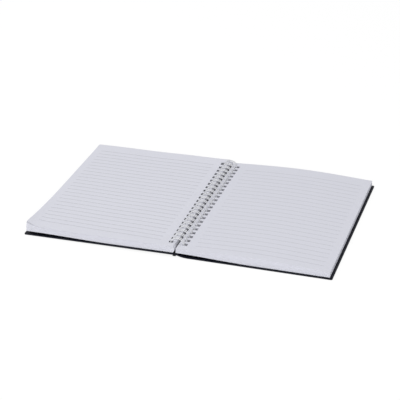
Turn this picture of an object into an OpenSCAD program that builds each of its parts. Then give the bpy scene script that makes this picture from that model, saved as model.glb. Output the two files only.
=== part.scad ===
// Wire-bound notebook, lying open: two covers, two blocks of sheets and one twin-loop wire.
// X runs across the opening, Y along the spine towards the back edge, Z up from the table.
// The origin is on the table, under the middle of the wire. Sizes are in millimetres.

/* [Sheets] */
// Width of a sheet, from its punched edge to its fore edge
page_w = 150; // [110:1:220]
// Length of a sheet along the spine
page_l = 208; // [120:1:300]
// Thickness of the turned sheets, on the left, where the wire gathers them
left_spine_stack = 4.8; // [3:0.1:6]
// Thickness of the turned sheets away from the wire
left_stack = 5.9; // [3:0.1:7]
// Height that the left sheets swell halfway across
left_swell = 0.5; // [0:0.1:1.5]
// Gap between the left sheets and their cover at the fore edge
left_fore_gap = 2; // [0:0.1:3]
// Width of the strip at the fore edge where the left sheets lift off their cover
left_lift_w = 90; // [20:1:110]
// Thickness of the right sheets where the wire gathers them
right_spine_stack = 4.1; // [2:0.1:5]
// Thickness of the right sheets at their fore edge
right_stack = 6; // [3:0.1:8]
// Height that the right sheets arch halfway across
right_arch = 2.2; // [0:0.1:4]
// Distance from the wire over which the right sheets come down to their cover
right_settle_w = 78; // [30:1:100]
// Distance from the wire over which the gathered sheets loosen
gather_w = 60; // [20:1:100]

/* [Curled corner] */
// Length of the curl along the front end
curl_x = 20; // [8:1:40]
// Length of the curl along the fore edge
curl_y = 95; // [30:1:150]
// Height that the top sheets rise at the corner
curl_top = 4.6; // [1:0.1:8]
// Height that the sheets under them rise at the corner
curl_body = 3; // [0.5:0.1:5]
// Thickness of the top sheets that stand off
curl_t = 0.4; // [0.2:0.05:1]

/* [Holes] */
// Size of a hole across the sheet
hole_w = 4.8; // [4:0.1:6]
// Size of a hole along the spine
hole_l = 4.4; // [4:0.1:5]
// Paper left between a hole and the punched edge
hole_edge = 2.4; // [1.5:0.1:3]
// Play between the inner side of the wire and the hole
hole_play = 1.4; // [0.5:0.1:2]
// Least distance from the end of a sheet to the middle of its first hole
end_margin = 8; // [6:0.5:20]

/* [Covers] */
// Thickness of a cover
cover_t = 1; // [0.5:0.1:1.5]
// Width of a cover beyond the fore edge of the sheets
cover_side = 2.4; // [0:0.1:6]
// Length of a cover beyond each end of the sheets
cover_end = 1.3; // [0:0.1:6]
// Radius of the outer corners of a cover
cover_r = 1.5; // [0.5:0.1:12]
// Strip left between the holes of a cover and its inner edge
cover_edge = 2; // [1.5:0.1:3]
// Gap between the inner edges of the two covers
spine_gap = 0.8; // [0.4:0.1:1.6]
// Distance from the wire's axis where the back cover starts to rise
bend_start = 14; // [10:1:40]

/* [Wire] */
// Thickness of the wire
wire_d = 1; // [0.8:0.05:1.2]
// Outside diameter of the loops
ring_d = 14.6; // [13:0.1:18]
// Distance from one loop to the next
loop_pitch = 8.467; // [8:0.001:12.7]
// Distance between the two wires of a loop, middle to middle
pair_gap = 2.4; // [1.8:0.1:2.6]
// Height of the loops above the table
wire_foot = 0.2; // [0:0.1:1]
// Angle below level, on the right, of the bars that join the loops: 90 is under the spine, between the covers
seam_angle = 90; // [84:1:92]
// Gap between the tip of a loop and the bar
tip_gap = 0.45; // [0.2:0.05:0.8]

/* [Hidden] */

// Clearance of pieces that lie on each other, and of the wire at a cover's strip
seat = 0.05;
strip_play = 0.2;
// Steps of a curved profile, and how far a cutting body passes the surface that it cuts
steps = 28;
over = 1;

// The wire's circle and the hinge axis, which is its middle
ring_r = (ring_d - wire_d) / 2;
ring_in = ring_r - wire_d / 2;
axis_z = wire_foot + ring_d / 2;

// Places measured from the axis, the same on both sides
hole_near = ring_in - hole_play;
hole_far = hole_near + hole_w;
page_in = hole_near - hole_edge;
page_out = page_in + page_w;
cover_in = spine_gap / 2;
cover_near = cover_in + cover_edge;
cover_out = page_out + cover_side;
cover_l = page_l + 2 * cover_end;

// A cover's strip lies inside the wire, so it is lifted off the table by this much
strip_lift = axis_z - sqrt(pow(ring_in - strip_play, 2) - pow(cover_near, 2));

// Loops that fit between the end margins, and the middle of each
loops = 1 + floor((page_l - 2 * end_margin) / loop_pitch);
loop_ys = [for (i = [0:loops - 1]) (i - (loops - 1) / 2) * loop_pitch];

// Bars and tips are a touch thicker than the wire, so that the two wires that they join end inside them
bar_d = 1.04 * wire_d;
tip_lap = 0.1;

// Angles on the wire's circle, level on the right at 0: where a loop leaves its bar and where its tip starts
bar_a = -seam_angle;
tip_a = bar_a - ring_angle((bar_d + wire_d) / 2 + tip_gap + pair_gap / 2);

// Angle that a length takes up on the wire's circle
function ring_angle(len) = len / ring_r * 180 / PI;

// Smooth step from 0 to 1
function smooth(t) = let (u = min(max(t, 0), 1)) u * u * (3 - 2 * u);

// Evenly spaced places from a to b
function spread(a, b) = [for (i = [0:steps]) a + (b - a) * i / steps];

// Share of the way from the punched edge to the fore edge
function across(x) = (x - page_in) / page_w;

// Half a wave from the punched edge to the fore edge
function arch(x) = sin(180 * min(max(across(x), 0), 1));

// Underside of the back cover: level, then rising to the strip
function back_under(x) =
    strip_lift * pow(max(0, bend_start - max(x, cover_near)) / (bend_start - cover_near), 2);

// Underside of the front cover: a stiff board that leans from the table at its outer edge to the strip
function front_under(x) = strip_lift * (cover_out - max(x, cover_near)) / (cover_out - cover_near);

// Underside and top of the turned sheets
function left_under(x) =
    front_under(x) + cover_t + seat + left_fore_gap * smooth((x - page_out + left_lift_w) / left_lift_w);
function left_top(x) =
    left_under(x) + left_spine_stack + (left_stack - left_spine_stack) * smooth(x / gather_w)
    + left_swell * arch(x);

// Underside and top of the remaining sheets
right_spine_under = strip_lift + cover_t + 5 * seat;
right_fore_under = cover_t + seat;
function right_under(x) =
    right_spine_under + (right_fore_under - right_spine_under) * smooth(x / right_settle_w);
right_spine_top = right_spine_under + right_spine_stack;
right_fore_top = right_fore_under + right_stack;
function right_top(x) =
    right_spine_top + (right_fore_top - right_spine_top) * across(x)
    + right_arch * pow(arch(x), 1.5);

// Solid of length l along Y, centred, from an outline given as [x, z]
module along_spine(l) {
    translate([0, l / 2, 0])
        rotate([90, 0, 0])
            linear_extrude(l)
                children();
}

// Mirrors a piece drawn on the right over to the left
module to_left() {
    mirror([1, 0, 0]) children();
}

// Corner of the turned sheets where the curl starts, as a triangle seen from above
module curl_plan(h) {
    linear_extrude(h)
        polygon([
            [page_out, -page_l / 2],
            [page_out, -page_l / 2 + curl_y],
            [page_out - curl_x, -page_l / 2]
        ]);
}

// Roller that the corner is bent round: it rests on the sheets along the fold line, and its radius
// makes the corner rise by the given height
module curl_roller(rise, extra_r = 0) {
    fold = atan2(curl_x, curl_y);
    reach = curl_x * cos(fold);
    r = (reach * reach + rise * rise) / (2 * rise);
    translate([page_out - curl_x, -page_l / 2, left_top(page_out) + r])
        rotate([0, 0, -fold])
            rotate([-90, 0, 0])
                translate([0, 0, -curl_y])
                    cylinder(r = r + extra_r, h = 3 * curl_y, $fn = 180);
}

// Curved way that the stacked holes make round the wire
module hole_way() {
    rotate([90, 0, 0])
        rotate_extrude($fn = 96)
            translate([hole_near, -hole_l / 2])
                square([hole_w, hole_l]);
}

// Everything that the wire needs cut out of a block of sheets
module wire_room() {
    translate([0, 0, axis_z]) {
        rotate([90, 0, 0])
            cylinder(r = page_in, h = page_l + 2 * over, center = true, $fn = 96);
        for (y = loop_ys)
            translate([0, y, 0])
                hole_way();
    }
}

// Plan of a cover: square at the spine, rounded at the two outer corners
module cover_plan() {
    translate([cover_in, -cover_l / 2])
        square([cover_out - cover_r - cover_in, cover_l]);
    translate([cover_out - cover_r - over, -cover_l / 2 + cover_r])
        square([cover_r + over, cover_l - 2 * cover_r]);
    for (s = [-1, 1])
        translate([cover_out - cover_r, s * (cover_l / 2 - cover_r)])
            circle(r = cover_r, $fn = 32);
}

// Row of punched holes through a cover
module cover_holes(h) {
    for (y = loop_ys)
        translate([cover_near, y - hole_l / 2, 0])
            cube([hole_w, hole_l, h]);
}

// Board with the given places across it and the heights of its underside there
module cover_board(xs, under) {
    h = max(under) + cover_t + over;
    n = len(xs) - 1;
    difference() {
        intersection() {
            along_spine(cover_l)
                polygon(concat(
                    [for (i = [0:n]) [xs[i], under[i]]],
                    [for (i = [n:-1:0]) [xs[i], under[i] + cover_t]]
                ));
            translate([0, 0, -over])
                linear_extrude(h + 2 * over)
                    cover_plan();
        }
        translate([0, 0, -over])
            cover_holes(h + 2 * over);
    }
}

module back_cover() {
    xs = concat(
        [cover_in],
        [for (i = [0:8]) cover_near + (bend_start - cover_near) * i / 8],
        [cover_out]
    );
    color([0.06, 0.06, 0.09])
        cover_board(xs, [for (x = xs) back_under(x)]);
}

module front_cover() {
    xs = [cover_in, cover_near, cover_out];
    color([0.06, 0.06, 0.09])
        to_left()
            cover_board(xs, [for (x = xs) front_under(x)]);
}

// Block of the left sheets, with the top sheets standing off at the curled corner
module turned_pages() {
    xs = spread(cover_in, page_out);
    corner_z = left_top(page_out) - seat;
    color([0.84, 0.84, 0.88])
        to_left()
            union() {
                difference() {
                    along_spine(page_l)
                        polygon(concat(
                            [for (x = xs) [x, left_under(x)]],
                            [for (i = [steps:-1:0]) [xs[i], left_top(xs[i])]]
                        ));
                    wire_room();
                }
                difference() {
                    translate([0, 0, corner_z - left_stack / 2])
                        curl_plan(left_stack / 2 + curl_top);
                    curl_roller(curl_body);
                }
                intersection() {
                    translate([0, 0, corner_z - curl_t])
                        curl_plan(curl_top + over);
                    difference() {
                        curl_roller(curl_top, curl_t);
                        curl_roller(curl_top);
                    }
                }
            }
}

// Block of the right sheets
module remaining_pages() {
    xs = spread(cover_in, page_out);
    color([0.83, 0.83, 0.87])
        difference() {
            along_spine(page_l)
                polygon(concat(
                    [for (x = xs) [x, right_under(x)]],
                    [for (i = [steps:-1:0]) [xs[i], right_top(xs[i])]]
                ));
            wire_room();
        }
}

// Puts a piece on the wire's circle at angle a: X points outwards, Z forward along the wire
module on_ring(a) {
    translate([ring_r * cos(a), 0, axis_z + ring_r * sin(a)])
        rotate([0, -a, 0])
            children();
}

// One wire of a loop, round from the bar to the tip
module loop_arc() {
    translate([0, 0, axis_z])
        rotate([90, 0, 0])
            rotate_extrude(start = bar_a, angle = tip_a + ring_angle(tip_lap) + 360 - bar_a, $fn = 64)
                translate([ring_r, 0])
                    circle(d = wire_d, $fn = 16);
}

// Hairpin that closes a loop, flat on the wire's circle
module loop_tip() {
    on_ring(tip_a)
        rotate([0, 90, 0])
            rotate_extrude(start = 90, angle = 180, $fn = 32)
                translate([pair_gap / 2, 0])
                    circle(d = bar_d, $fn = 16);
}

// Bar from one loop's second wire to the next loop's first wire
module loop_bar() {
    on_ring(bar_a)
        rotate([90, 0, 0])
            cylinder(d = bar_d, h = loop_pitch - pair_gap + bar_d, center = true, $fn = 16);
}

// One wire from end to end: each loop is a pair of arcs closed by a tip, and a bar leads to the next
module wire_binding() {
    color([0.80, 0.80, 0.81])
        union() {
            for (y = loop_ys)
                translate([0, y, 0])
                    union() {
                        for (s = [-1, 1])
                            translate([0, s * pair_gap / 2, 0])
                                loop_arc();
                        loop_tip();
                    }
            for (i = [0:loops - 2])
                translate([0, loop_ys[i] + loop_pitch / 2, 0])
                    loop_bar();
        }
}

back_cover();
front_cover();
turned_pages();
remaining_pages();
wire_binding();
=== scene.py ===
"""Wire-bound notebook, lying open: the looks of its sheets, covers and wire, and the studio round it."""

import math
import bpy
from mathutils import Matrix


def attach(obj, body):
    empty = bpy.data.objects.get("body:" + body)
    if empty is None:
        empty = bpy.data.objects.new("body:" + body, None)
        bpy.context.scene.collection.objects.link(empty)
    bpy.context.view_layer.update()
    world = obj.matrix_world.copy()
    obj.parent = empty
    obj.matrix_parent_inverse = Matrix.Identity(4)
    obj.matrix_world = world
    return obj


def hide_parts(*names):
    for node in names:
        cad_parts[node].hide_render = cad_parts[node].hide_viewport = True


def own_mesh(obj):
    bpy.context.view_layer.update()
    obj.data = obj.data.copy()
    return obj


bl_info = {
    "name": "Open wire-bound notebook",
    "version": (1, 0, 0),
    "blender": (4, 5, 0),
    "location": "3D View > Sidebar > Notebook",
    "description": "Builds the sheets, covers and twin-loop wire of an open notebook on its CAD frame",
    "category": "Object",
}

from dataclasses import dataclass

import bpy
import numpy as np
from mathutils import Euler, Matrix

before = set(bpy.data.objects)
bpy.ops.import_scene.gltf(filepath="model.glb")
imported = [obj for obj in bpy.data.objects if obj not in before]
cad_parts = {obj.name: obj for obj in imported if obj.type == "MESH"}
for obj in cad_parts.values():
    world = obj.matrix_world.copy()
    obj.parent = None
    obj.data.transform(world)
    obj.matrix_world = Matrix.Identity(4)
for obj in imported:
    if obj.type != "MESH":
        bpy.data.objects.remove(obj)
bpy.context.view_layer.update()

MM = 0.001
LEFT, RIGHT = -1, 1

# The notebook's sizes in millimetres, as its solids have them
PAGE_L = 208.0
AXIS_Z = 7.5
RING_R = 6.8
PAGE_IN, PAGE_OUT = 2.5, 152.5
HOLE_NEAR, HOLE_FAR, HOLE_L = 4.9, 9.7, 4.4
COVER_NEAR, COVER_OUT, COVER_L = 2.4, 154.9, 210.6
COVER_T = 1.0
SEAT = 0.05
STRIP_LIFT = 1.892
LOOPS, LOOP_PITCH = 23, 8.467
WIRE_D, BAR_D, PAIR_GAP, TIP_GAP = 1.0, 1.04, 2.4, 0.45
BAR_ANGLE = math.radians(-90)
TIP_ANGLE = BAR_ANGLE - ((BAR_D + WIRE_D) / 2 + TIP_GAP + PAIR_GAP / 2) / RING_R
LEFT_SPINE_STACK, LEFT_STACK, LEFT_SWELL = 4.8, 5.9, 0.5
LEFT_FORE_GAP, LEFT_LIFT_W = 2.0, 90.0
RIGHT_SPINE_STACK, RIGHT_STACK, RIGHT_ARCH, RIGHT_SETTLE_W = 4.1, 6.0, 2.2, 78.0
GATHER_W = 60.0
CURL_X, CURL_Y = 20.0, 95.0
LOOP_YS = (np.arange(LOOPS) - (LOOPS - 1) / 2) * LOOP_PITCH

# How the loose sheets lie at rest, in millimetres: the air between them, and the rise or sag of their ends past
# the first and last loop. A fade f is that of e^(-x/f) away from the wire, and a span that of a smooth step
LEFT_AIR, LEFT_AIR_FADE = 1.1, 55.0
RIGHT_AIR, RIGHT_BULGE = 0.8, 3.2
LEFT_RISE_FRONT, LEFT_RISE_BACK = 1.1, 1.6
LEFT_RISE_SPAN, LEFT_RISE_FADE = 22.0, 90.0
RIGHT_RISE, RIGHT_RISE_SPAN = 0.4, 16.0
RIGHT_SAG, RIGHT_SAG_SPAN = 1.0, 40.0
RIGHT_END_FADE = 14.0

# A leaf that lies by itself: its thickness and the gap under it in millimetres, and the share of the whole pile's
# height that is taken to lie under it
LEAF_T, LEAF_GAP = 0.09, 0.02
LEAF_BASE = 0.98

# Places across a sheet, in millimetres: where the wire passes it, where the fan round the wire ends, where the
# finer grid of the curled corner starts, and where and over what width a leaf's slip sets in
WIRE_X, FAN_END, CURL_START = 6.0, 40.0, 126.0
SLIP_START, SLIP_SPAN = 12.0, 60.0

# The length at the back end over which a pile's narrowed holes widen again, the share of its twist by which its
# punched edges swing, and the least rise of a curl, which keeps its roller finite
TIGHT_SPAN = 30.0
SWING = 0.7
LEAST_RISE = 0.01

# Points of the wire's path in a bend, in the half circle of a tip and in an arc
BEND_POINTS, TIP_POINTS, ARC_POINTS = 6, 13, 44

# Distance at which two points count as one: metres in a mesh, millimetres on the wire's path
SAME_POINT = 1e-6

# Ruled lines in metres, as the photo shows them: the place of the front-most one along the spine, their number,
# where they start and end across the page, and the range of their tint as shares of the paper's colour
RULING = {
    LEFT: (-0.0906, 24, (0.0175, 0.1454), (0.26, 0.34)),
    RIGHT: (-0.0936, 23, (0.0179, 0.1447), (0.46, 0.54)),
}

# The left page's lines draw together towards its fore edge by RULE_TAPER per metre, and have their set spacing
# at RULE_TAPER_X
RULE_TAPER, RULE_TAPER_X = 0.25, -0.075

# Painted shade on the cut edges, in metres: in the gutter up to GUTTER_X from the middle of the spine and under
# GUTTER_TOP, and on the walls of the holes from there to PUNCHED_X
GUTTER_X, GUTTER_TOP, GUTTER_FADE = 0.003, 0.0100, 0.0035
PUNCHED_X, PUNCHED_Y = 0.0125, 0.1

# Width of a cover's worn rim in millimetres, along its fore edge and along its ends
RIM_SIDE, RIM_END = 2.5, 2.1

# The painted shadow on the floor under the spine, a dark strip where the floor does not glow, in metres
SHADOW_X, SHADOW_Y, SHADOW_SOFT = (-0.0020, 0.0016), (-0.1042, 0.1035), 0.0004

# The light from all round, the floor's own glow, and the share of that glow in what the camera sees of the floor
AMBIENT = 0.62
FLOOR_GLOW, FLOOR_GLOW_SHARE = 1.05, 0.82
FLOOR_HALF = 3.0

# The camera that the photo fits: how far it stands off, its direction, and the field of its lens
CAMERA_TARGET = (-0.01170, 0.01978, 0.0)
CAMERA_DISTANCE = 1.4778
CAMERA_AZIMUTH, CAMERA_ELEVATION, CAMERA_ROLL = 16.85, 26.24, 0.22
CAMERA_LENS = 128.44


class NotebookSettings(bpy.types.PropertyGroup):
    """Sizes and colours of the notebook that a user would change."""

    wire_thickness: bpy.props.FloatProperty(
        name="Wire thickness", description="Diameter of the binding wire",
        default=0.0009, unit="LENGTH", precision=4,
    )
    bend_radius: bpy.props.FloatProperty(
        name="Wire bend", description="Radius where a loop turns into a bar",
        default=0.0009, unit="LENGTH", precision=4,
    )
    rule_pitch: bpy.props.FloatVectorProperty(
        name="Line spacing", description="Distance between ruled lines on the left and right page",
        size=2, default=(0.00775, 0.00821), unit="LENGTH", precision=5,
    )
    rule_width: bpy.props.FloatProperty(
        name="Line width", description="Width of a ruled line",
        default=0.00035, unit="LENGTH", precision=5,
    )
    leaves: bpy.props.IntProperty(
        name="Leaves", description="Leaves that show at the edges of a block of sheets",
        default=36, min=4, max=80,
    )
    # The two pages are of one paper, given two tones: the right page's is a touch darker, which is painted shade
    paper_left: bpy.props.FloatVectorProperty(
        name="Left paper", description="Colour of the turned sheets",
        subtype="COLOR", size=3, default=(0.679, 0.685, 0.751),
    )
    paper_right: bpy.props.FloatVectorProperty(
        name="Right paper", description="Colour of the sheets that are not turned",
        subtype="COLOR", size=3, default=(0.666, 0.672, 0.739),
    )
    cover_colour: bpy.props.FloatVectorProperty(
        name="Covers", description="Colour of both covers",
        subtype="COLOR", size=3, default=(0.0025, 0.003, 0.007),
    )
    wire_colour: bpy.props.FloatVectorProperty(
        name="Wire", description="Colour of the wire's coating",
        subtype="COLOR", size=3, default=(0.71, 0.715, 0.74),
    )


def smooth(t):
    """Smooth step from 0 to 1: 3 t^2 - 2 t^3, held at its ends."""
    u = np.clip(t, 0, 1)
    return u * u * (3 - 2 * u)


def across(x):
    """Share of the way from the punched edge to the fore edge, held at its ends."""
    return np.clip((x - PAGE_IN) / (PAGE_OUT - PAGE_IN), 0, 1)


def left_under(x):
    """Underside of the turned sheets: the leaning cover, and a gap that opens towards the fore edge."""
    lean = STRIP_LIFT * (COVER_OUT - np.maximum(x, COVER_NEAR)) / (COVER_OUT - COVER_NEAR)
    return lean + COVER_T + SEAT + LEFT_FORE_GAP * smooth((x - PAGE_OUT + LEFT_LIFT_W) / LEFT_LIFT_W)


def left_top(x):
    """Top of the turned sheets: their underside, their thickness and half a sine wave of swell."""
    stack = LEFT_SPINE_STACK + (LEFT_STACK - LEFT_SPINE_STACK) * smooth(x / GATHER_W)
    return left_under(x) + stack + LEFT_SWELL * np.sin(np.pi * across(x))


def right_under(x):
    """Underside of the remaining sheets: it settles from the wire down to the cover in a smooth step."""
    spine, fore = STRIP_LIFT + COVER_T + 5 * SEAT, COVER_T + SEAT
    return spine + (fore - spine) * smooth(x / RIGHT_SETTLE_W)


def right_top(x):
    """Top of the remaining sheets: a slope from the wire to the fore edge, under an arch that is half a sine
    wave to the power 1.5."""
    spine = STRIP_LIFT + COVER_T + 5 * SEAT + RIGHT_SPINE_STACK
    fore = COVER_T + SEAT + RIGHT_STACK
    a = across(x)
    return spine + (fore - spine) * a + RIGHT_ARCH * np.maximum(np.sin(np.pi * a), 0) ** 1.5


def left_air(x):
    """Air between the turned sheets as they lie: it fades away from the wire."""
    return LEFT_AIR * np.exp(-x / LEFT_AIR_FADE)


def right_air(x):
    """Air between the remaining sheets as they lie: it fades in a line from the wire, and bulges before the
    fore edge as a^3 (1 - a)."""
    a = across(x)
    return RIGHT_AIR * (1 - a) + RIGHT_BULGE * a**3 * (1 - a)


def left_ends(x, y, w):
    """Rise of the turned sheets past the first and last loop, where no wire holds them: a smooth step along
    the spine that fades away from the wire, less at the front than at the back."""
    rise = np.where(y < 0, LEFT_RISE_FRONT, LEFT_RISE_BACK)
    past = smooth((np.abs(y) - PAGE_L / 2 + LEFT_RISE_SPAN) / LEFT_RISE_SPAN)
    return rise * w * np.exp(-x / LEFT_RISE_FADE) * past


def right_ends(x, y, w):
    """Sag of the remaining sheets towards the back end, and their rise at the front end: smooth steps along
    the spine that fade away from the wire."""
    back = smooth((y - PAGE_L / 2 + RIGHT_SAG_SPAN) / RIGHT_SAG_SPAN)
    front = smooth((-y - PAGE_L / 2 + RIGHT_RISE_SPAN) / RIGHT_RISE_SPAN)
    return w * np.exp(-x / RIGHT_END_FADE) * (RIGHT_RISE * front - RIGHT_SAG * back)


def corner_curl(x, y, rise):
    """Lift at the front fore corner, and how far it draws the corner in along x and y: a sheet bent round a
    roller of radius r that lies along the fold line, so a point at distance d past the line rises
    r (1 - cos(d/r)) and is drawn in by d - r sin(d/r)."""
    fold = math.atan2(CURL_X, CURL_Y)
    reach = CURL_X * math.cos(fold)
    d = (x - PAGE_OUT + CURL_X) * math.cos(fold) - (y + PAGE_L / 2) * math.sin(fold)
    d = np.clip(d, 0, reach)
    r = reach * reach / (2 * np.maximum(rise, LEAST_RISE))
    back = d - r * np.sin(d / r)
    return r * (1 - np.cos(d / r)), back * math.cos(fold), back * math.sin(fold)


def columns():
    """Grid across a sheet: (distances from the axis, whether each cell between them is in the row of holes)."""
    strips = [
        (PAGE_IN, HOLE_NEAR, 3),
        (HOLE_NEAR, HOLE_FAR, 3),
        (HOLE_FAR, FAN_END, 12),
        (FAN_END, CURL_START, 22),
        (CURL_START, PAGE_OUT, 21),
    ]
    places = [np.linspace(start, end, cells + 1)[:-1] for start, end, cells in strips]
    holed = [np.full(cells, start == HOLE_NEAR) for start, _, cells in strips]
    return np.append(np.concatenate(places), PAGE_OUT), np.concatenate(holed)


def rows():
    """Grid along the spine: (places, whether each cell between them is at a hole)."""
    edges = np.sort(np.concatenate([LOOP_YS - HOLE_L / 2, LOOP_YS + HOLE_L / 2]))
    mids = (edges[1:-1:2] + edges[2::2]) / 2
    ends = np.array([-PAGE_L / 2, PAGE_L / 2])
    near_ends = np.array([(ends[0] + edges[0]) / 2, (ends[1] + edges[-1]) / 2])
    places = np.sort(np.concatenate([edges, mids, LOOP_YS, ends, near_ends]))
    centres = (places[1:] + places[:-1]) / 2
    holed = np.abs(centres[:, None] - LOOP_YS[None, :]).min(axis=1) < HOLE_L / 2
    return places, holed


def fan_out(s, height, inner, play, tight):
    """Place across of a point of a sheet that passes the wire at a height h over the axis: its holes keep
    their distance from the axis, so a hole's side at p moves to sqrt(p^2 - h^2) and on by the play, and its
    punched edge moves to the given inner place. Tight narrows the hole on the side next to the spine."""
    h2 = height * height
    edge = inner - PAGE_IN
    near = np.sqrt(np.maximum(HOLE_NEAR**2 - h2, 1)) - HOLE_NEAR + play + tight
    far = np.sqrt(np.maximum(HOLE_FAR**2 - h2, 1)) - HOLE_FAR + play
    shift = np.where(
        s <= HOLE_NEAR,
        edge + (near - edge) * (s - PAGE_IN) / (HOLE_NEAR - PAGE_IN),
        np.where(
            s <= HOLE_FAR,
            near + (far - near) * (s - HOLE_NEAR) / (HOLE_FAR - HOLE_NEAR),
            far * np.clip((FAN_END - s) / (FAN_END - HOLE_FAR), 0, 1) ** 2,
        ),
    )
    return s + shift


def block_place(s, y, w, pile, slip):
    """Point of a block of sheets. s runs across a sheet, y along the spine, and w from the underside at 0 to
    the top at 1; slip is how far the leaf there has slid in from the fore edge and from the ends. The holes
    widen again at the back end. The twist t is sheared into the pile: a leaf at the share v of its height
    moves along the spine by t v x (1/2 + y/L), least at the front end where the curl holds it, and its punched
    edge swings by an angle from -SWING t in the lowest leaf to SWING t in the top one, while its fore edge
    stays parallel to the spine."""
    under, top = pile.under, pile.top
    share = pile.base + w * (1 - pile.base)
    wire_height = under(WIRE_X) + w * (top(WIRE_X) - under(WIRE_X)) - AXIS_Z
    inner = np.interp(share, *pile.inner)
    tight = pile.tight * smooth((PAGE_L / 2 - y) / TIGHT_SPAN)
    slip_in = slip[0] * np.clip((s - SLIP_START) / SLIP_SPAN, 0, 1)
    x = fan_out(s, wire_height, inner, pile.play, tight) - slip_in
    rise, draw_x, draw_y = corner_curl(s, y, pile.curl(w))
    z = under(s) + w * (top(s) - under(s)) + pile.lift(s, y, w) + rise
    y = y * (1 - slip[1] / (PAGE_L / 2)) + draw_y
    x = pile.side * (x + pile.slide - draw_x)
    swing = SWING * pile.twist * (2 * share - 1) * y * (1 - across(s))
    shift = pile.twist * share * x * (0.5 + y / PAGE_L)
    return np.stack(np.broadcast_arrays(x - swing, y + shift, z), axis=-1) * MM


def grid_faces(first, shape, skip=None, turn=False):
    """Quads of a grid of points, row by row, counted from a first index; skip marks the cells left open."""
    n, m = shape
    i, j = np.meshgrid(np.arange(n - 1), np.arange(m - 1), indexing="ij")
    if skip is not None:
        i, j = i[~skip], j[~skip]
    a = first + i.ravel() * m + j.ravel()
    quads = np.stack([a, a + m, a + m + 1, a + 1], axis=1)
    return quads[:, ::-1] if turn else quads


@dataclass
class Pile:
    """Shape of a block of sheets or of one leaf: its side of the spine; the height of its underside and top
    across a sheet; a lift that also varies along the spine; the punched edges' place by share of the height;
    the holes' play outwards; the slide of whole sheets outwards; the twist of its top leaf in radians; the
    share of the whole pile's height that lies under it; the rise of its curled corner at a share w of its own
    height; and how much narrower its holes are on the side next to the spine."""

    side: int
    under: object
    top: object
    lift: object
    inner: tuple
    play: float = 0.0
    slide: float = 0.0
    twist: float = 0.0
    base: float = 0.0
    curl: object = np.zeros_like
    tight: float = 0.0


def paper_block(name, pile, slips):
    """Closed block of punched sheets. Its skin is the top and the underside with their holes left open, four
    sides and the four walls of every hole, each a grid of block_place; on the sides every leaf keeps its own
    slip, and steps over to the next leaf's within a lip at its top and its bottom, a share of its height."""
    leaves = len(slips)
    s, s_holed = columns()
    y, y_holed = rows()
    skip = np.logical_and.outer(s_holed, y_holed)
    lip = 0.06
    w = ((np.arange(leaves)[:, None] + np.array([lip, 1 - lip])) / leaves).ravel()
    w[0], w[-1] = 0.0, 1.0
    slip = np.repeat(slips, 2, axis=0)
    points, faces, leaf, slots = [], [], [], []
    count = 0

    def add(ss, yy, k, skip=None, turn=False, slot=0):
        nonlocal count
        ss, yy, k = np.broadcast_arrays(ss, yy, k)
        p = block_place(ss, yy, w[k], pile, (slip[k, 0], slip[k, 1]))
        quads = grid_faces(count, ss.shape, skip, turn != (pile.side == LEFT))
        points.append(p.reshape(-1, 3))
        leaf.append((w[k] * leaves).ravel())
        faces.append(quads)
        slots.append(np.full(len(quads), slot))
        count += ss.size

    k = np.arange(len(w))
    last = len(w) - 1
    add(s[:, None], y[None, :], last, skip)
    add(s[:, None], y[None, :], 0, skip, turn=True)
    add(s[:, None], y[0], k[None, :], slot=1)
    add(s[:, None], y[-1], k[None, :], turn=True, slot=1)
    add(s[0], y[:, None], k[None, :], turn=True, slot=1)
    add(s[-1], y[:, None], k[None, :], slot=1)
    a, b = np.flatnonzero(s_holed)[[0, -1]] + [0, 1]
    for j in np.flatnonzero(y_holed & ~np.append(False, y_holed[:-1])):
        e = j + 1
        while y_holed[e]:
            e += 1
        add(s[a], y[j : e + 1, None], k[None, :], slot=1)
        add(s[b], y[j : e + 1, None], k[None, :], turn=True, slot=1)
        add(s[a : b + 1, None], y[j], k[None, :], turn=True, slot=1)
        add(s[a : b + 1, None], y[e], k[None, :], slot=1)
    return new_mesh(name, points, faces, {"leaf": np.concatenate(leaf)}, np.concatenate(slots))


def new_mesh(name, points, faces, attributes=None, slots=None):
    """Object of a smooth mesh whose repeated points are merged, with float attributes on its points."""
    points, faces = np.concatenate(points), np.concatenate(faces)
    keys = np.round(points / SAME_POINT).astype(np.int64)
    _, first, back = np.unique(keys, axis=0, return_index=True, return_inverse=True)
    faces = back.ravel()[faces]
    same = faces == np.roll(faces, -1, axis=1)
    folded = same.sum(axis=1)
    whole, third = folded == 0, folded == 1
    triangles = faces[third][~same[third]].reshape(-1, 3)
    mesh = bpy.data.meshes.new(name)
    mesh.from_pydata(points[first].tolist(), [], faces[whole].tolist() + triangles.tolist())
    for key, values in (attributes or {}).items():
        data = mesh.attributes.new(key, "FLOAT", "POINT").data
        data.foreach_set("value", values[first].astype(np.float32))
    if slots is not None:
        slots = np.concatenate([slots[whole], slots[third]])
        mesh.polygons.foreach_set("material_index", slots.astype(np.int32))
    mesh.polygons.foreach_set("use_smooth", np.full(len(mesh.polygons), True))
    mesh.update()
    obj = bpy.data.objects.new(name, mesh)
    bpy.context.scene.collection.objects.link(obj)
    return obj


def sharpen(obj, degrees):
    """Keeps the edges that are steeper than an angle sharp under smooth shading."""
    bpy.context.view_layer.objects.active = obj
    for other in bpy.context.selected_objects:
        other.select_set(False)
    obj.select_set(True)
    bpy.ops.object.shade_smooth_by_angle(angle=math.radians(degrees), keep_sharp_edges=False)
    obj.select_set(False)


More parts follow.
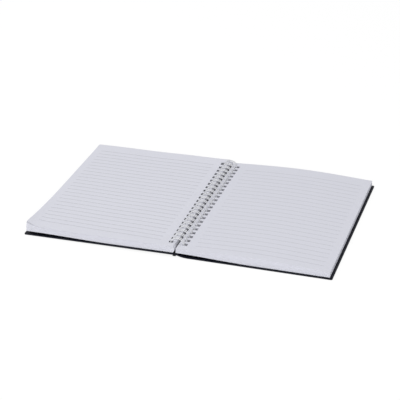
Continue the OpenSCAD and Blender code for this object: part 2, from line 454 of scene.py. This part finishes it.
def wire_path(bend):
    """Middle line of the whole wire on its cylinder, as (angle, place along the spine): for each loop a bend
    off the bar, an arc, a hairpin of half a circle, an arc back and a bend on to the next bar."""
    quarter = np.linspace(0, np.pi / 2, BEND_POINTS)
    half = np.linspace(0, np.pi, TIP_POINTS)
    root = BAR_ANGLE * RING_R
    tip = (TIP_ANGLE + 2 * np.pi) * RING_R
    arc = np.linspace(root + bend, tip, ARC_POINTS)
    track = []

    def add(around, along):
        track.append(np.stack(np.broadcast_arrays(np.atleast_1d(around), along), axis=1))

    for i, y in enumerate(LOOP_YS):
        low, high = y - PAIR_GAP / 2, y + PAIR_GAP / 2
        if i > 0:
            add(root + bend - bend * np.cos(quarter), low - bend + bend * np.sin(quarter))
        else:
            add(root, low)
        add(arc, low)
        add(tip + PAIR_GAP / 2 * np.sin(half), y - PAIR_GAP / 2 * np.cos(half))
        add(arc[::-1], high)
        if i < LOOPS - 1:
            add(root + bend - bend * np.sin(quarter), high + bend - bend * np.cos(quarter))
        else:
            add(root, high)
    track = np.concatenate(track)
    apart = np.append(True, np.linalg.norm(np.diff(track, axis=0), axis=1) > SAME_POINT)
    track = track[apart]
    return track[:, 0] / RING_R, track[:, 1]


def tube(name, angle, y, radius, sides=12):
    """Round wire along a line on the cylinder: at each point a circle in the plane of the cylinder's outward
    normal and of the normal's cross product with the line's direction; flat discs close the two ends."""
    out = np.stack([np.cos(angle), np.zeros_like(angle), np.sin(angle)], axis=1)
    line = out * RING_R + np.array([0, 0, AXIS_Z]) + np.stack([0 * y, y, 0 * y], axis=1)
    along = np.gradient(line, axis=0)
    along /= np.linalg.norm(along, axis=1, keepdims=True)
    across_wire = np.cross(along, out)
    turn = np.linspace(0, 2 * np.pi, sides + 1)
    ring = (
        line[:, None, :]
        + radius * np.cos(turn)[None, :, None] * out[:, None, :]
        + radius * np.sin(turn)[None, :, None] * across_wire[:, None, :]
    )
    count = len(line) * (sides + 1)
    i = np.arange(sides)
    last = count - (sides + 1)

    def disc(a, b, centre):
        return np.stack([a, b, np.full(sides, centre), np.full(sides, centre)], axis=1)

    discs = [disc(i, i + 1, count), disc(last + i + 1, last + i, count + 1)]
    points = np.concatenate([ring.reshape(-1, 3), line[:1], line[-1:]]) * MM
    return new_mesh(name, [points], [grid_faces(0, ring.shape[:2]), *discs])


class Nodes:
    """A material's node tree, with short calls that add a node and link what feeds it."""

    def __init__(self, name):
        self.material = bpy.data.materials.new(name)
        self.material.use_nodes = True
        self.tree = self.material.node_tree
        self.shader = self.tree.nodes["Principled BSDF"]

    def add(self, kind, inputs=(), **settings):
        node = self.tree.nodes.new(kind)
        for key, value in settings.items():
            setattr(node, key, value)
        for key, value in dict(inputs).items():
            self.feed(node, key, value)
        return node

    def feed(self, node, key, value):
        if isinstance(value, bpy.types.NodeSocket):
            self.tree.links.new(value, node.inputs[key])
        else:
            node.inputs[key].default_value = value

    def finish(self, inputs):
        """Feeds the surface shader and returns the material."""
        for key, value in inputs.items():
            self.feed(self.shader, key, value)
        return self.material

    def place(self):
        """Place on the object: the vector, and its x, y and z."""
        where = self.add("ShaderNodeTexCoord").outputs["Object"]
        return where, *self.add("ShaderNodeSeparateXYZ", {"Vector": where}).outputs

    def maths(self, operation, *values, clamp=False):
        node = self.add("ShaderNodeMath", dict(enumerate(values)), operation=operation, use_clamp=clamp)
        return node.outputs[0]

    def above(self, value, level, soft):
        """1 over a level and 0 under it, with a soft edge."""
        return self.maths("DIVIDE", self.maths("SUBTRACT", value, level), soft, clamp=True)

    def below(self, value, level, soft):
        """1 under a level and 0 over it, with a soft edge."""
        return self.maths("DIVIDE", self.maths("SUBTRACT", level, value), soft, clamp=True)

    def between(self, value, low, high, soft):
        """1 inside a range and 0 outside, with soft edges."""
        return self.maths("MULTIPLY", self.above(value, low, soft), self.below(value, high, soft))

    def mix(self, factor, a, b):
        """Colour a where the factor is 0 and b where it is 1."""
        return self.add("ShaderNodeMix", {"Factor": factor, 6: a, 7: b}, data_type="RGBA").outputs[2]

    def noise(self, coordinates, scale, detail=3.0, roughness=0.5):
        inputs = {"Vector": coordinates, "Scale": scale, "Detail": detail, "Roughness": roughness}
        return self.add("ShaderNodeTexNoise", inputs).outputs["Fac"]

    def stretch(self, coordinates, scale):
        """Coordinates scaled along x, y and z."""
        return self.add("ShaderNodeMapping", {"Vector": coordinates, "Scale": scale}).outputs[0]

    def bump(self, height, strength, distance):
        inputs = {"Height": height, "Strength": strength, "Distance": distance}
        return self.add("ShaderNodeBump", inputs).outputs["Normal"]


def rgba(colour, factor=1.0):
    """Colour times a factor, opaque."""
    return tuple(min(1.0, c * factor) for c in colour) + (1.0,)


def ruled_paper(name, colour, side, settings):
    """Uncoated writing paper: faint grey ruled lines, soft mottling and a fine felt bump. The left page's
    lines draw together a little towards its fore edge, as y / (1 + taper (x - x0))."""
    n = Nodes(name)
    where, x, y, _ = n.place()
    first, lines, reach, ink = RULING[side]
    pitch = settings.rule_pitch[0 if side == LEFT else 1]
    if side == LEFT:
        y = n.maths("DIVIDE", y, n.maths("MULTIPLY_ADD", x, RULE_TAPER, 1 - RULE_TAPER * RULE_TAPER_X))
    steps = n.maths("DIVIDE", n.maths("SUBTRACT", y, first), pitch)
    off = n.maths("ABSOLUTE", n.maths("SUBTRACT", steps, n.maths("ROUND", steps)))
    half = settings.rule_width / pitch / 2
    on_line = n.below(off, half, half * 0.3)
    inside_y = n.between(steps, -0.5, lines - 0.5, 0.01)
    inside_x = n.between(n.maths("MULTIPLY", x, float(side)), *reach, 0.0002)
    line = n.maths("MULTIPLY", n.maths("MULTIPLY", on_line, inside_y), inside_x)
    paper = n.mix(n.noise(where, 60.0, 4.0, 0.6), rgba(colour, 0.985), rgba(colour, 1.015))
    tint = n.mix(n.noise(where, 900.0, 2.0), rgba(colour, ink[0]), rgba(colour, ink[1]))
    felt = n.noise(where, 2600.0, 3.0, 0.6)
    return n.finish({
        "Base Color": n.mix(line, paper, tint),
        "Roughness": 0.85,
        "Specular IOR Level": 0.25,
        "Sheen Weight": 0.05,
        "Normal": n.bump(felt, 0.12, 0.00004),
    })


def leaf_edges(name, colour, hole_shade):
    """Cut edges of a block of sheets: each leaf is a touch lighter or darker, with a fine dark line between
    two leaves and the slight drag marks that the knife leaves. The walls of the holes get painted shade, darker
    by the given factor, and the edges low in the gutter get a deeper painted shade."""
    n = Nodes(name)
    where, x, y, z = n.place()
    leaf = n.add("ShaderNodeAttribute", attribute_name="leaf").outputs["Fac"]
    whole = n.maths("FLOOR", leaf)
    shade = n.add("ShaderNodeTexWhiteNoise", {"W": whole}, noise_dimensions="1D").outputs["Value"]
    middle = n.maths("ABSOLUTE", n.maths("SUBTRACT", n.maths("FRACT", leaf), 0.5))
    gap = n.above(middle, 0.36, 0.14)
    drag = n.noise(n.stretch(where, (40.0, 40.0, 2500.0)), 1.0, 3.0, 0.6)
    light = n.mix(shade, rgba(colour, 0.97), rgba(colour, 1.04))
    light = n.mix(n.maths("MULTIPLY", drag, 0.3), light, rgba(colour, 0.88))
    from_spine = n.maths("ABSOLUTE", x)
    from_middle = n.maths("ABSOLUTE", y)
    # Painted shade on the walls of the holes, where little light gets in
    punched_x = n.between(from_spine, GUTTER_X, PUNCHED_X, 0.0003)
    punched = n.maths("MULTIPLY", punched_x, n.below(from_middle, PUNCHED_Y, 0.0005))
    light = n.mix(punched, light, rgba(colour, hole_shade))
    # Painted shade: the sheets' ends low in the gutter darken towards the bottom, to a quarter of the paper's
    # tone
    gutter_x = n.below(from_spine, GUTTER_X, 0.0003)
    gutter = n.maths("MULTIPLY", gutter_x, n.below(from_middle, PUNCHED_Y, 0.004))
    gutter_shade = n.below(z, GUTTER_TOP, GUTTER_FADE)
    light = n.mix(n.maths("MULTIPLY", gutter_shade, gutter), light, rgba(colour, 0.25))
    return n.finish({
        "Base Color": n.mix(n.maths("MULTIPLY", gap, 0.4), light, rgba(colour, 0.7)),
        "Roughness": 0.9,
        "Specular IOR Level": 0.2,
        "Normal": n.bump(n.maths("SUBTRACT", drag, gap), 0.25, 0.00006),
    })


def cover_sheet(name, colour):
    """Dark moulded cover: a fine leather-like grain, a soft gloss and a paler worn rim along its outer
    edges."""
    n = Nodes(name)
    where, x, y, _ = n.place()
    rim_x = n.above(n.maths("ABSOLUTE", x), (COVER_OUT - RIM_SIDE) * MM, 0.0006)
    rim_y = n.above(n.maths("ABSOLUTE", y), (COVER_L / 2 - RIM_END) * MM, 0.0006)
    scuff = n.maths("MULTIPLY", n.noise(where, 420.0, 4.0, 0.7), 0.9)
    worn = n.maths("MULTIPLY", n.maths("MAXIMUM", rim_x, rim_y), scuff, clamp=True)
    tone = n.mix(n.noise(where, 35.0, 3.0), rgba(colour, 0.85), rgba(colour, 1.25))
    cells = {"Vector": where, "Scale": 1500.0}
    grain = n.add("ShaderNodeTexVoronoi", cells, feature="DISTANCE_TO_EDGE").outputs["Distance"]
    return n.finish({
        "Base Color": n.mix(worn, tone, rgba(colour, 3.0)),
        "Roughness": n.maths("MULTIPLY_ADD", n.noise(where, 90.0, 3.0), 0.16, 0.42),
        "Specular IOR Level": 0.22,
        "Normal": n.bump(grain, 0.35, 0.00008),
    })


def coated_wire(name, colour):
    """Nylon-coated steel wire: an even satin coat with faint streaks along it and small dull rubs."""
    n = Nodes(name)
    where = n.place()[0]
    streak = n.noise(n.stretch(where, (900.0, 260.0, 900.0)), 1.0)
    rub = n.noise(where, 700.0, 4.0, 0.7)
    return n.finish({
        "Base Color": n.mix(streak, rgba(colour, 0.96), rgba(colour, 1.04)),
        "Roughness": n.maths("MULTIPLY_ADD", rub, 0.2, 0.4),
        "Specular IOR Level": 0.35,
        "Normal": n.bump(streak, 0.08, 0.00003),
    })


def leaf_slips(leaves, seed, side_spread, end_spread):
    """How far each leaf has slid in from the fore edge and from the ends, in millimetres: at random, less for
    the top leaf and more for the lowest four."""
    rng = np.random.default_rng(seed)
    slips = np.stack([rng.random(leaves) * side_spread, rng.random(leaves) * end_spread], axis=1)
    slips[-1] *= 0.3
    slips[:4] += np.outer([1.0, 0.8, 0.5, 0.2], [0.8, 1.1])
    return slips


def dress_sheets(part, ruled, edges):
    """Gives a block or a leaf its ruled and its edge paper, and sharp edges."""
    part.data.materials.append(ruled)
    part.data.materials.append(edges)
    sharpen(part, 40)


class NOTEBOOK_OT_covers(bpy.types.Operator):
    """Gives the two covers their grained dark finish"""

    bl_idname = "notebook.covers"
    bl_label = "Covers"

    def execute(self, context):
        material = cover_sheet("grained_cover", context.scene.notebook.cover_colour)
        for node in ("front_cover", "back_cover"):
            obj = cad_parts[node]
            obj.data.materials.clear()
            obj.data.materials.append(material)
        return {"FINISHED"}


class NOTEBOOK_OT_turned_sheets(bpy.types.Operator):
    """Builds the turned sheets on the left, with the curled top leaves"""

    bl_idname = "notebook.turned_sheets"
    bl_label = "Turned sheets"

    def execute(self, context):
        settings = context.scene.notebook
        ruled = ruled_paper("ruled_left", settings.paper_left, LEFT, settings)
        edges = leaf_edges("edges_left", settings.paper_left, 0.5)
        hold = {
            "inner": ([0, 0.45, 0.75, 1], [0.2, -0.8, -0.2, 1.7]),
            "play": -0.75,
            "slide": 0.5,
            "twist": 0.0145,
            "tight": 0.7,
        }
        block_rise, flat_share = 4.6, 0.35
        leaf_rises = (4.8, 5.05, 5.3)
        loose_slips = ((0.25, 0.1), (0.1, 0.02), (0.0, 0.08))
        step = LEAF_T + LEAF_GAP
        shell = len(leaf_rises) * step

        def pile_top(x):
            return left_top(x) + left_air(x)

        def block_curl(w):
            return block_rise * np.clip((w - flat_share) / (1 - flat_share), 0, 1) ** 1.5

        block = paper_block(
            "turned_block",
            Pile(LEFT, left_under, lambda x: pile_top(x) - shell, left_ends, curl=block_curl, **hold),
            leaf_slips(settings.leaves, 4, 0.30, 0.14),
        )
        parts = [block]
        for i, (rise, slip) in enumerate(zip(leaf_rises, loose_slips)):
            low = shell - i * step
            leaf = Pile(
                LEFT,
                lambda x, low=low: pile_top(x) - low + LEAF_GAP,
                lambda x, low=low: pile_top(x) - low + LEAF_GAP + LEAF_T,
                lambda x, y, w: left_ends(x, y, 1.0),
                base=LEAF_BASE,
                curl=lambda w, rise=rise: rise + np.zeros_like(w),
                **hold,
            )
            parts.append(paper_block(f"turned_leaf_{i + 1}", leaf, np.array([slip])))
        for part in parts:
            dress_sheets(part, ruled, edges)
            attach(part, "front_half")
            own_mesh(part)
        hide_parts("turned_pages")
        return {"FINISHED"}


class NOTEBOOK_OT_remaining_sheets(bpy.types.Operator):
    """Builds the sheets on the right that are not turned yet"""

    bl_idname = "notebook.remaining_sheets"
    bl_label = "Remaining sheets"

    def execute(self, context):
        settings = context.scene.notebook
        ruled = ruled_paper("ruled_right", settings.paper_right, RIGHT, settings)
        edges = leaf_edges("edges_right", settings.paper_right, 0.7)
        hold = {"inner": ([0, 1], [1.4, 1.6]), "play": 0.6}

        def pile_top(x):
            return right_top(x) + right_air(x)

        block = paper_block(
            "remaining_block",
            Pile(RIGHT, right_under, lambda x: pile_top(x) - LEAF_T - LEAF_GAP, right_ends, **hold),
            leaf_slips(settings.leaves, 9, 0.26, 0.14),
        )
        leaf = paper_block(
            "remaining_leaf",
            Pile(
                RIGHT,
                lambda x: pile_top(x) - LEAF_T,
                pile_top,
                lambda x, y, w: right_ends(x, y, 1.0),
                base=LEAF_BASE,
                **hold,
            ),
            np.array([[0.0, 0.05]]),
        )
        for part in (block, leaf):
            dress_sheets(part, ruled, edges)
            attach(part, "back_half")
            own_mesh(part)
        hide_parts("remaining_pages")
        return {"FINISHED"}


class NOTEBOOK_OT_wire(bpy.types.Operator):
    """Builds the continuous twin-loop wire"""

    bl_idname = "notebook.wire"
    bl_label = "Wire"

    def execute(self, context):
        settings = context.scene.notebook
        angle, y = wire_path(settings.bend_radius / MM)
        wire = tube("twin_loop_wire", angle, y, settings.wire_thickness / MM / 2)
        wire.data.materials.append(coated_wire("coated_wire", settings.wire_colour))
        sharpen(wire, 50)
        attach(wire, "binding")
        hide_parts("wire_binding")
        return {"FINISHED"}


class NOTEBOOK_OT_stage(bpy.types.Operator):
    """Sets the pale floor, the soft lights and the camera"""

    bl_idname = "notebook.stage"
    bl_label = "Studio"

    def execute(self, context):
        scene = context.scene
        scene.view_settings.view_transform = "Standard"
        corners = np.array([[-1, -1, 0], [1, -1, 0], [1, 1, 0], [-1, 1, 0]]) * FLOOR_HALF
        floor = new_mesh("floor", [corners], [np.array([[0, 1, 2, 3]])])
        floor.data.materials.append(self.floor_paint())
        self.world(scene)
        self.lamp(scene, "key_lamp", (-0.6, 0.3, 1.7), size=1.3, power=9.0)
        self.lamp(scene, "front_lamp", (0.3, -1.7, 0.7), size=1.6, power=15.0)
        self.camera(scene)
        return {"FINISHED"}

    def floor_paint(self):
        """White ground that glows where the camera sees it, with a painted shadow under the spine: a dark strip
        that does not glow.
        """
        n = Nodes("white_floor")
        _, x, y, _ = n.place()
        # Painted shadow: a dark strip under the spine, where the floor also loses its glow
        painted_shadow = n.maths("MULTIPLY", n.between(x, *SHADOW_X, SHADOW_SOFT), n.between(y, *SHADOW_Y, SHADOW_SOFT))
        n.finish({
            "Base Color": n.mix(painted_shadow, (0.85, 0.85, 0.85, 1), (0.02, 0.02, 0.02, 1)),
            "Roughness": 0.9,
            "Specular IOR Level": 0.0,
        })
        glow = n.add("ShaderNodeEmission", {"Color": (1, 1, 1, 1), "Strength": FLOOR_GLOW}).outputs[0]
        paths = n.add("ShaderNodeLightPath").outputs
        seen = n.maths("MAXIMUM", paths["Is Camera Ray"], paths["Is Glossy Ray"])
        seen = n.maths("MAXIMUM", seen, paths["Is Transmission Ray"])
        unshadowed = n.maths("SUBTRACT", 1.0, painted_shadow)
        share = n.maths("MULTIPLY", n.maths("MULTIPLY", seen, FLOOR_GLOW_SHARE), unshadowed)
        blend = n.add("ShaderNodeMixShader", {0: share, 1: n.shader.outputs[0], 2: glow})
        n.tree.links.new(blend.outputs[0], n.tree.nodes["Material Output"].inputs["Surface"])
        return n.material

    def world(self, scene):
        """Even white light from all round, which the camera sees as full white."""
        world = bpy.data.worlds.new("studio")
        scene.world = world
        world.use_nodes = True
        tree = world.node_tree
        background = tree.nodes["Background"]
        background.inputs["Color"].default_value = (1, 1, 1, 1)
        paths = tree.nodes.new("ShaderNodeLightPath").outputs
        seen = tree.nodes.new("ShaderNodeMath")
        seen.operation = "MAXIMUM"
        tree.links.new(paths["Is Camera Ray"], seen.inputs[0])
        tree.links.new(paths["Is Transmission Ray"], seen.inputs[1])
        level = tree.nodes.new("ShaderNodeMapRange")
        tree.links.new(seen.outputs[0], level.inputs["Value"])
        level.inputs["To Min"].default_value = AMBIENT
        level.inputs["To Max"].default_value = 1.0
        tree.links.new(level.outputs["Result"], background.inputs["Strength"])

    def lamp(self, scene, name, place, size, power):
        """Round area lamp that is aimed at the origin."""
        light = bpy.data.lights.new(name, "AREA")
        light.shape = "DISK"
        light.size = size
        light.energy = power
        obj = bpy.data.objects.new(name, light)
        obj.location = place
        x, y, z = place
        obj.rotation_euler = (math.atan2(math.hypot(x, y), z), 0, math.atan2(-y, -x) - math.pi / 2)
        scene.collection.objects.link(obj)

    def camera(self, scene):
        """Camera that looks at its target from the photo's direction, turned by its roll."""
        lens = bpy.data.cameras.new("photo_camera")
        lens.sensor_width = 36.0
        lens.lens = CAMERA_LENS
        lens.clip_end = 20.0
        camera = bpy.data.objects.new("photo_camera", lens)
        az, el = math.radians(CAMERA_AZIMUTH), math.radians(CAMERA_ELEVATION)
        away = np.array([math.sin(az) * math.cos(el), -math.cos(az) * math.cos(el), math.sin(el)])
        camera.location = np.array(CAMERA_TARGET) + CAMERA_DISTANCE * away
        level = Euler((math.pi / 2 - el, 0, az)).to_matrix()
        roll = Matrix.Rotation(math.radians(CAMERA_ROLL), 3, "Z")
        camera.rotation_euler = (level @ roll).to_euler()
        scene.collection.objects.link(camera)
        scene.camera = camera


class NOTEBOOK_PT_panel(bpy.types.Panel):
    """Lists the notebook's settings and the steps that build it"""

    bl_idname = "NOTEBOOK_PT_panel"
    bl_label = "Notebook"
    bl_space_type = "VIEW_3D"
    bl_region_type = "UI"
    bl_category = "Notebook"

    def draw(self, context):
        for name in NotebookSettings.__annotations__:
            self.layout.prop(context.scene.notebook, name)
        for step in STEPS:
            self.layout.operator(step.bl_idname)


STEPS = (
    NOTEBOOK_OT_covers,
    NOTEBOOK_OT_turned_sheets,
    NOTEBOOK_OT_remaining_sheets,
    NOTEBOOK_OT_wire,
    NOTEBOOK_OT_stage,
)
CLASSES = (NotebookSettings, *STEPS, NOTEBOOK_PT_panel)


def register():
    for cls in CLASSES:
        bpy.utils.register_class(cls)
    bpy.types.Scene.notebook = bpy.props.PointerProperty(type=NotebookSettings)


def unregister():
    del bpy.types.Scene.notebook
    for cls in reversed(CLASSES):
        bpy.utils.unregister_class(cls)


def main():
    register()
    bpy.ops.notebook.covers()
    bpy.ops.notebook.turned_sheets()
    bpy.ops.notebook.remaining_sheets()
    bpy.ops.notebook.wire()
    bpy.ops.notebook.stage()


if __name__ == "__main__":
    main()
